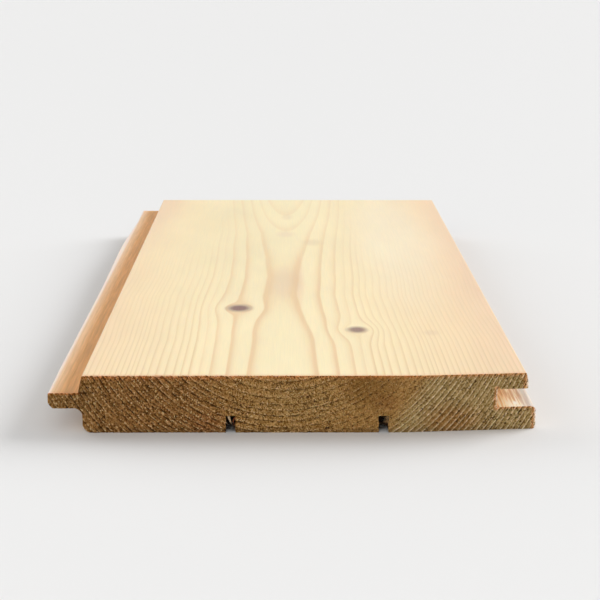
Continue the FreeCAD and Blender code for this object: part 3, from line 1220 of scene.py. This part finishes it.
@dataclass(frozen=True)
class SawCut:
    """The sawn front end: a square crosscut, and a second, cleaner cut that falls away to the groove."""

    section: Section
    rings: GrowthRings
    set_back: float = 3.3
    run_top: float = 35.5
    run_bottom: float = 40.5
    corner_round: float = 1.3
    clean_lean: float = 0.66
    clean_from: float = 25.0
    clean_to: float = 33.0
    tear_depth: float = 0.1
    # Weights of the fine and the broad tears, the dense wood that stands proud, and the gashes
    torn_relief: tuple = (1.0, 0.5, 0.5, 4.0)
    clean_relief: tuple = (0.4, 0.0, 0.8, 2.0)
    # Place across the board, and how strong the noise must be there to tear a gash
    gash_limit: tuple = ((-74, 0.1), (-25, 0.15), (-12, 0.55), (20, 0.6), (30, 0.75))
    # How much rarer gashes are in the cleaner cut, the weight of short ones, and how softly they start
    gash_rarity: float = 0.5
    short_gash: float = 0.6
    gash_softness: float = 0.3
    # How much rarer scattered pits are than gashes, how softly they start, and how deep they are
    pit_rarity: float = 0.45
    pit_softness: float = 0.2
    pit_depth: float = 0.7
    # Place across the board, and how badly the show face's arris is chipped there
    chipped: tuple = ((-66, 1.0), (-30, 1.0), (-15, 0.5), (5, 0.25), (20, 0.1), (72, 0.1))
    chip_reach: float = 0.7
    small_chip: float = 0.3
    large_chip: float = 0.6
    large_chip_from: float = 0.3
    # Depth at which broken wood shows in full, and how much of its colour shows at most
    chip_shows_at: float = 0.25
    chip_shows: float = 0.75
    # How far a torn kerf wall strays, how wide the torn strip is, and how far in it goes
    fray: float = 0.2
    fray_width: float = 0.8
    fray_run: float = 4.0

    def plane_depth(self, x: np.ndarray, z: np.ndarray) -> np.ndarray:
        """How far the two cuts and the rounded lips lie behind the front.

        Args:
            x: Places across the board.
            z: Heights above the underside.

        Returns:
            Depth at each point.
        """
        slope = self.set_back / ((self.run_top + self.run_bottom) / 2)
        run = self.run_bottom + (self.run_top - self.run_bottom) * z / self.section.thickness
        depth = np.maximum(0, slope * (x - (self.section.nose - run)))
        edge = np.where(z > self.section.groove_middle, self.section.lip_edge, self.section.nose)
        into = np.clip(self.corner_round - (edge - x), 0, self.corner_round)
        return depth + self.corner_round - np.sqrt(self.corner_round**2 - into**2)

    def gashes(self, x: np.ndarray, z: np.ndarray) -> np.ndarray:
        """Where the saw tore weak wood out along the rings.

        Args:
            x: Places across the board.
            z: Heights above the underside.

        Returns:
            How far each point is torn out, from 0 to 1.
        """
        radius, arc, count = self.rings.count_at(x, z)
        weak = np.interp((count + self.rings.late_middle) % 1, *zip(*self.rings.weakness))
        limit = np.interp(x, *zip(*self.gash_limit)) + self.gash_rarity * self.cleanness(x, z)
        long = smooth_noise(radius, arc, Noise.LONG_GASH)
        short = smooth_noise(radius, arc, Noise.SHORT_GASH)
        share = np.clip((long + self.short_gash * short - limit) / self.gash_softness, 0, 1) * weak
        pits = smooth_noise(x, z, Noise.SCATTERED_PIT)
        scattered = np.clip((pits - limit - self.pit_rarity) / self.pit_softness, 0, 1)
        return np.maximum(share, self.pit_depth * scattered)

    def cleanness(self, x: np.ndarray, z: np.ndarray) -> np.ndarray:
        """Share of the cleaner cut at each point, which starts along a line that leans over the rings."""
        into = x - self.clean_lean * z - self.clean_from
        return np.clip(into / (self.clean_to - self.clean_from), 0, 1)

    def relief(self, x: np.ndarray, z: np.ndarray) -> np.ndarray:
        """What the saw tore out, as depth behind its cut.

        Args:
            x: Places across the board.
            z: Heights above the underside.

        Returns:
            Depth at each point.
        """
        radius, arc, count = self.rings.count_at(x, z)
        late = np.interp((count + self.rings.late_middle) % 1, *zip(*self.rings.density))
        fine = smooth_noise(radius, arc, Noise.TORN_CELLS)
        broad = smooth_noise(x, z, Noise.BROAD_TEAR)
        clean, gashes = self.cleanness(x, z), self.gashes(x, z)
        torn, tidy = (
            1 + a * fine + b * broad - c * late + d * gashes
            for a, b, c, d in (self.torn_relief, self.clean_relief)
        )
        return self.tear_depth * (torn * (1 - clean) + tidy * clean)

    def damage(self, x: np.ndarray, behind: np.ndarray, z: np.ndarray) -> tuple[np.ndarray, np.ndarray]:
        """How the saw chipped the show face's arris and frayed the kerfs.

        Args:
            x: Places across the board.
            behind: Distances behind the front.
            z: Heights above the underside.

        Returns:
            How far each point moves sideways and down.
        """
        near = np.clip(1 - behind / self.chip_reach, 0, 1)
        top = np.clip(1 - (self.section.thickness - z) / self.chip_reach, 0, 1)
        left = np.interp(x, *zip(*self.chipped))
        small = np.clip(smooth_noise(x, 0 * x, Noise.SMALL_CHIP), 0, 1)
        large = np.clip(smooth_noise(x, 0 * x, Noise.LARGE_CHIP) - self.large_chip_from, 0, 1)
        down = left * (self.small_chip * small + self.large_chip * large) * near * top
        by_kerf = np.clip(1 - np.abs(self.section.kerf_distance(x, z)) / self.fray_width, 0, 1)
        sideways = self.fray * smooth_noise(z, x, Noise.KERF_FRAY) * by_kerf
        return sideways * np.clip(1 - behind / self.fray_run, 0, 1), down

    def chips(self, x: np.ndarray, behind: np.ndarray, z: np.ndarray) -> np.ndarray:
        """How much broken wood shows at points, each so far behind the front."""
        return np.clip(self.damage(x, behind, z)[1] / self.chip_shows_at, 0, self.chip_shows)


@dataclass
class Board:
    """The whole board as one closed mesh."""

    section: Section
    cut: SawCut
    name: str = "board_planed"
    length: float = 300.0
    front_grid: float = 0.28
    rear_grid: float = 0.8
    rear_tear: float = 0.05
    # How far behind the front end the planed faces are warmed by light on its way out
    warm_reach: float = 2.4
    # Where the section is repeated: distances from each end, and a number of places between them
    front_stations: tuple = (0, 0.3, 0.7, 1.4, 2.6, 4.5, 8)
    rear_stations: tuple = (6, 2.5, 1.0, 0.4, 0)
    middle_stations: int = 22
    middle_from: float = 14.0
    # How far the tongue's tip stands out along the board, as it left the moulder
    tongue_swell: tuple = (
        (-150, -0.15), (-125, 0.1), (-10, 0.2), (6, 0.4), (35, 0.8), (55, 1.1),
        (75, 1.0), (105, 0.0), (125, -0.5), (150, -0.2),
    )
    seed: int = 7
    # How far points inside an end stray from an even grid, and how near they come to its outline
    jitter: float = 0.22
    margin: float = 0.6
    touching: float = 1e-3
    sharp_from: float = math.radians(38)

    def inside(self, points: np.ndarray, outline: np.ndarray, margin: float) -> np.ndarray:
        """Tells which points lie inside an outline and clear of its points.

        Args:
            points: Points to test.
            outline: Closed outline.
            margin: Least distance from the outline's points.

        Returns:
            One truth value for each point.
        """
        odd = np.zeros(len(points), bool)
        clear = np.ones(len(points), bool)
        for (ax, az), (bx, bz) in zip(outline, np.roll(outline, -1, axis=0)):
            if az != bz:
                spans = (az > points[:, 1]) != (bz > points[:, 1])
                odd ^= spans & (points[:, 0] < ax + (points[:, 1] - az) * (bx - ax) / (bz - az))
            clear &= (points[:, 0] - ax) ** 2 + (points[:, 1] - az) ** 2 > margin**2
        return odd & clear

    def fill(self, outline: np.ndarray, grid: float) -> tuple[np.ndarray, list]:
        """Fills the outline with small triangles.

        Args:
            outline: Closed outline, clockwise.
            grid: Spacing of the points inside.

        Returns:
            The points, with the outline's first, and the triangles.
        """
        rng = np.random.default_rng(self.seed)
        low, high = outline.min(0), outline.max(0)
        xs, zs = np.meshgrid(np.arange(low[0], high[0], grid), np.arange(low[1], high[1], 0.9 * grid))
        xs[::2] += grid / 2
        loose = np.column_stack([xs.ravel(), zs.ravel()])
        loose += rng.uniform(-self.jitter, self.jitter, loose.shape) * grid
        loose = loose[self.inside(loose, outline, self.margin * min(grid, self.section.step))]
        points = np.vstack([outline, loose])
        rim = [(i, (i + 1) % len(outline)) for i in range(len(outline))]
        found = delaunay_2d_cdt([Vector(p) for p in points], rim, [], 1, 1e-5)
        sources = [origins[0] if origins else -1 for origins in found[3]]
        faces = [[sources[v] for v in face] for face in found[2]]
        return points, [face for face in faces if min(face) >= 0 and len(set(face)) == 3]

    def stations(self) -> list[float]:
        """Places along the board at which the outline is repeated, close together at the ends.

        Returns:
            Shares of the length, from the front end.
        """
        between = np.linspace(self.middle_from, self.length - self.middle_from, self.middle_stations)
        far = [self.length - d for d in self.rear_stations]
        return [d / self.length for d in (*self.front_stations, *between, *far)]

    def shape(self, x: np.ndarray, y: np.ndarray, z: np.ndarray) -> np.ndarray:
        """Moves points of the plain section to where the real board has them.

        Args:
            x: Places across the board.
            y: Places along it.
            z: Heights above the underside.

        Returns:
            The moved points, one row each.
        """
        section = self.section
        share = (section.shoulder_foot - x) / (section.tongue_reach - section.shoulder_step)
        swell = np.clip(share, 0, 1) * np.interp(y, *zip(*self.tongue_swell))
        sideways, down = self.cut.damage(x, y + self.length / 2, z)
        return np.column_stack([x - swell + sideways, y, z - down])

    def side_kinds(self, outline: np.ndarray) -> list[int]:
        """Tells which stretches of the outline are kerf walls.

        Args:
            outline: The section's outline.

        Returns:
            Number of the surface of each stretch.
        """
        middles = (outline + np.roll(outline, -1, axis=0)) / 2
        in_kerf = self.section.kerf_distance(*middles.T) < self.touching
        in_kerf &= middles[:, 1] > self.touching
        return np.where(in_kerf, Surface.KERF_WALL.value, Surface.PLANED.value).tolist()

    def mark(self, mesh: bpy.types.Mesh, marks: dict[Mark, np.ndarray]) -> None:
        """Writes marks at the mesh's points, with 0 at the points that a mark doesn't reach.

        Args:
            mesh: Mesh to write to.
            marks: Values of each mark, from the first point on.
        """
        for mark, values in marks.items():
            layer = mesh.attributes.new(mark.value, "FLOAT", "POINT")
            layer.data.foreach_set("value", np.pad(values, (0, len(mesh.vertices) - len(values))))
        mesh.update()

    def build(self, finishes: Sequence[bpy.types.Material]) -> bpy.types.Object:
        """Makes the board's mesh and dresses it.

        Args:
            finishes: Materials in the order of Surface.

        Returns:
            The board.
        """
        outline = self.section.outline()
        rim = len(outline)
        front, front_faces = self.fill(outline, self.front_grid)
        rear, rear_faces = self.fill(outline, self.rear_grid)
        half = self.length / 2
        front_y = self.cut.plane_depth(*front.T) + self.cut.relief(*front.T) - half
        rear_y = half - self.rear_tear * (1 + smooth_noise(*rear.T, Noise.REAR_TEAR))
        layers = [(front[:, 0], front_y, front[:, 1])]
        for share in self.stations()[1:-1]:
            y = front_y[:rim] * (1 - share) + rear_y[:rim] * share
            layers.append((outline[:, 0], y, outline[:, 1]))
        layers.append((rear[:, 0], rear_y, rear[:, 1]))
        starts = np.cumsum([0] + [len(layer[0]) for layer in layers[:-1]])
        x, y, z = (np.concatenate(values) for values in zip(*layers))
        faces = [tuple(face) for face in front_faces]
        kinds = [Surface.END_GRAIN.value] * len(faces)
        sides = self.side_kinds(outline)
        for near, far in zip(starts, starts[1:]):
            for i in range(rim):
                j = (i + 1) % rim
                faces.append((near + i, far + i, far + j, near + j))
            kinds += sides
        faces += [tuple(starts[-1] + v for v in reversed(face)) for face in rear_faces]
        kinds += [Surface.END_GRAIN.value] * (len(faces) - len(kinds))
        mesh = make_mesh(self.name, self.shape(x, y, z), faces, kinds, finishes)
        mesh.set_sharp_from_angle(angle=self.sharp_from)
        behind = y + half - self.cut.plane_depth(x, z)
        light = self.section.edge_light(x, z) * np.clip(1 - behind / self.warm_reach, 0, 1)
        chips = self.cut.chips(x, y + half, z)
        self.mark(mesh, {Mark.GASH: self.cut.gashes(*front.T), Mark.LIT_EDGE: light, Mark.CHIP: chips})
        return add_object(self.name, mesh)


@dataclass(frozen=True)
class Splinter:
    """A sliver still held at its root. Its path is places across the board and heights, root first."""

    path: tuple
    width: float
    behind: float
    fibre: Fibre = Fibre.PALE


@dataclass(frozen=True)
class KerfSplinters:
    """Slivers that the blades left hanging at the mouths of the kerfs."""

    section: Section
    rings: GrowthRings
    name: str = "kerf_splinters"
    slivers: tuple = (
        Splinter(((-19.7, 5.4), (-19.5, 4.4), (-19.1, 3.2), (-18.5, 2.0)), 1.0, 0.9),
        Splinter(((-17.2, 5.0), (-17.9, 4.3), (-18.3, 3.2), (-17.8, 2.3)), 0.8, 0.7, Fibre.RED),
        Splinter(((-17.2, 2.9), (-17.9, 2.6), (-18.2, 1.7)), 0.5, 0.3, Fibre.RED),
        Splinter(((-20.9, 3.2), (-20.2, 2.9), (-19.9, 2.2)), 0.3, 0.5),
    )
    hairs: int = 26
    hair_reach: tuple = (0.7, 2.2)
    hair_width: tuple = (0.2, 0.34)
    hair_behind: tuple = (0.2, 0.5)
    # Dark fur in each kerf: fibres that also stand in for the shade deep in the kerfs
    fur: int = 110
    fur_reach: tuple = (1.0, 2.6)
    fur_width: tuple = (0.3, 0.5)
    fur_behind: tuple = (1.2, 12.0)
    sides: int = 6
    seed: int = 11

    def grow_hairs(self) -> list[Splinter]:
        """Scatters pale hairs over the right wall of the second kerf, and dark fur deeper in both kerfs,
        which also darkens them as painted shade.

        Returns:
            The hairs.
        """
        rng = np.random.default_rng(self.seed)
        depth, half = self.section.kerf_depth, self.section.kerf_width / 2
        grown = []
        for _ in range(self.hairs):
            wall, z = self.section.kerf_middles[1] + half, depth * rng.uniform(0.3, 1.0) ** 0.5
            reach, drop = rng.uniform(*self.hair_reach), rng.uniform(-0.15, 0.3)
            path = ((wall + 0.3, z), (wall - 0.4 * reach, z - 0.2 * drop), (wall - reach, z - drop))
            width, behind = rng.uniform(*self.hair_width), rng.uniform(*self.hair_behind)
            grown.append(Splinter(path, width, behind, Fibre.TAN))
        for n in range(2 * self.fur):
            side = rng.choice((-1, 1))
            wall, z = self.section.kerf_middles[n % 2] + side * half, rng.uniform(0.3, depth)
            reach, drop = side * rng.uniform(*self.fur_reach), rng.uniform(-0.6, 0.6)
            bend = (wall - 0.5 * reach, z - 0.3 * drop)
            path = ((wall + 0.3 * side, z), bend, (wall - reach, max(0.2, z - drop)))
            behind = rng.uniform(*self.fur_behind)
            grown.append(Splinter(path, rng.uniform(*self.fur_width), behind, Fibre.DARK))
        return grown

    def build(self, finishes: Sequence[bpy.types.Material]) -> bpy.types.Object:
        """Makes the slivers as one mesh of closed, tapered rods.

        Args:
            finishes: Materials in the order of Fibre.

        Returns:
            The slivers.
        """
        verts, faces, kinds = [], [], []
        front = self.rings.front
        for sliver in [*self.slivers, *self.grow_hairs()]:
            start, count = len(verts), len(sliver.path)
            for k, (x, z) in enumerate(sliver.path[:-1]):
                size = sliver.width * (1 - k / (count - 1)) ** 0.6 / 2
                for n in range(self.sides):
                    angle = math.tau * n / self.sides
                    out, back = size * math.sin(angle), sliver.behind + size * math.cos(angle) + 0.1 * k
                    verts.append((x + out, front + back, z + 0.3 * out))
            tip_x, tip_z = sliver.path[-1]
            verts.append((tip_x, front + sliver.behind + 0.1 * count, tip_z))
            faces.append(tuple(start + n for n in range(self.sides)))
            for k in range(count - 2):
                ring = start + k * self.sides
                for n in range(self.sides):
                    m = (n + 1) % self.sides
                    faces.append((ring + n, ring + self.sides + n, ring + self.sides + m, ring + m))
            last = start + (count - 2) * self.sides
            faces += [(last + n, len(verts) - 1, last + (n + 1) % self.sides) for n in range(self.sides)]
            kinds += [sliver.fibre.value] * (len(faces) - len(kinds))
        return add_object(self.name, make_mesh(self.name, np.array(verts), faces, kinds, finishes))


@dataclass(frozen=True)
class Lamp:
    """A wide, distant lamp. Its strength is the share of a white surface's brightness that it gives."""

    name: str
    towards: tuple[float, float, float]
    strength: float
    spread: float
    tint: str


@dataclass(frozen=True)
class Studio:
    """A plain pale floor and plain soft light, with the camera where the photograph was taken."""

    camera_at: tuple = (-1.955, -569.057, 146.245)
    pitch: float = 0.244993
    yaw: float = -0.00925
    roll: float = 0.001919
    focal_px: float = 1457.1
    image_px: float = 600.0
    sensor: float = 36.0
    room: float = 0.5
    room_tint: str = "FAFBFD"
    wall_tint: str = "F1F1F0"
    floor_seen: str = "E8E7E5"
    floor_bounce: str = "8E8C8A"
    floor_reach: float = 12.0
    lamps: tuple = (
        Lamp("right_window", (1.0, 0.55, 0.6), 0.8, 0.7, "FCFDFF"),
        Lamp("left_window", (-1.0, 0.8, 0.5), 0.3, 0.8, "FCFDFF"),
        Lamp("fill", (-0.3, -1.0, 0.45), 0.33, 1.2, "FFFCF8"),
    )

    def add_camera(self) -> None:
        """Adds the camera and makes it the scene's."""
        data = bpy.data.cameras.new("view")
        data.sensor_width = self.sensor
        data.lens = self.focal_px / self.image_px * self.sensor
        data.clip_start, data.clip_end = 0.01, 50.0
        view = add_object("view", data)
        cos_p, sin_p = math.cos(self.pitch), math.sin(self.pitch)
        ahead = Vector((-math.sin(self.yaw) * cos_p, math.cos(self.yaw) * cos_p, -sin_p))
        level = Vector((math.cos(self.yaw), math.sin(self.yaw), 0))
        upright = level.cross(ahead)
        side = level * math.cos(self.roll) + upright * math.sin(self.roll)
        up = upright * math.cos(self.roll) - level * math.sin(self.roll)
        turn = Matrix((side, up, -ahead)).transposed().to_4x4()
        view.matrix_world = Matrix.Translation(Vector(self.camera_at) * MM) @ turn
        bpy.context.scene.camera = view

    def add_floor(self) -> None:
        """Adds the floor, painted matt. It is pale to the eye and throws back less light than it shows."""
        graph = Graph(bpy.data.materials.new("pale_floor"))
        eye = graph.add("LightPath", out="Is Camera Ray")
        tints = {0: eye, 6: self.floor_bounce, 7: self.floor_seen}
        colour = graph.add("Mix", named=tints, **TINT)
        look = {"Base Color": colour, "Roughness": 0.7}
        graph.add("OutputMaterial", graph.add("BsdfPrincipled", named=look))
        reach = self.floor_reach
        mesh = bpy.data.meshes.new("floor")
        corners = [(-reach, -reach, 0), (reach, -reach, 0), (reach, reach, 0), (-reach, reach, 0)]
        mesh.from_pydata(corners, [], [(0, 1, 2, 3)])
        mesh.materials.append(graph.owner)
        add_object("floor", mesh)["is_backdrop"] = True

    def add_lamp(self, lamp: Lamp) -> None:
        """Adds a lamp that lights every place alike.

        Args:
            lamp: The lamp.
        """
        data = bpy.data.lights.new(lamp.name, "SUN")
        data.angle = lamp.spread
        data.energy = lamp.strength * math.pi
        data.color = linear(lamp.tint)[:3]
        add_object(lamp.name, data).rotation_euler = Vector(lamp.towards).to_track_quat("Z", "Y").to_euler()

    def add_room(self) -> None:
        """Adds the even light of the room, behind which the eye sees a white wall."""
        world = bpy.data.worlds.new("room")
        bpy.context.scene.world = world
        graph = Graph(world)
        eye = graph.add("LightPath", out="Is Camera Ray")
        room = graph.add("Background", self.room_tint, self.room)
        wall = graph.add("Background", self.wall_tint, 1.0)
        graph.add("OutputWorld", graph.add("MixShader", eye, room, wall))

    def build(self) -> None:
        """Sets up the whole stage."""
        self.add_camera()
        self.add_floor()
        self.add_room()
        for lamp in self.lamps:
            self.add_lamp(lamp)
        bpy.context.scene.view_settings.view_transform = "Standard"


def write_sizes() -> None:
    """Gathers the CAD model's box and the visual model's box as plain lists, and does nothing more with
    them.
    """
    boxes = {"cad": CAD_BOX, "visual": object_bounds()}
    plain = {name: [[float(v) for v in corner] for corner in box] for name, box in boxes.items()}


def main() -> None:
    """Builds the stage and the board, and reports each piece."""
    logging.basicConfig(level=logging.INFO, format="%(name)s: %(message)s")
    Studio().build()
    rings, section = GrowthRings(), Section()
    cut = SawCut(section, rings)
    planed = PlanedPine().build(rings, section)
    rough = RoughSawnPine().build()
    board = Board(section, cut).build([planed, SawnEndGrain().build(rings, cut), rough])
    pale = RoughSawnPine("torn_fibres", fur="F2DAB4", hollow="C89C68").build()
    red = RoughSawnPine("torn_red_fibres", fur="A4562C", hollow="5A2410").build()
    tan = RoughSawnPine("torn_tan_fibres", fur="E8C088", hollow="8A6436").build()
    splinters = KerfSplinters(section, rings).build([pale, red, rough, tan])
    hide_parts(NODE)
    for piece in (board, splinters):
        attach(piece, BODY)
        log.info("%s: %d faces", piece.name, len(piece.data.polygons))
    write_sizes()


if __name__ == "__main__":
    main()
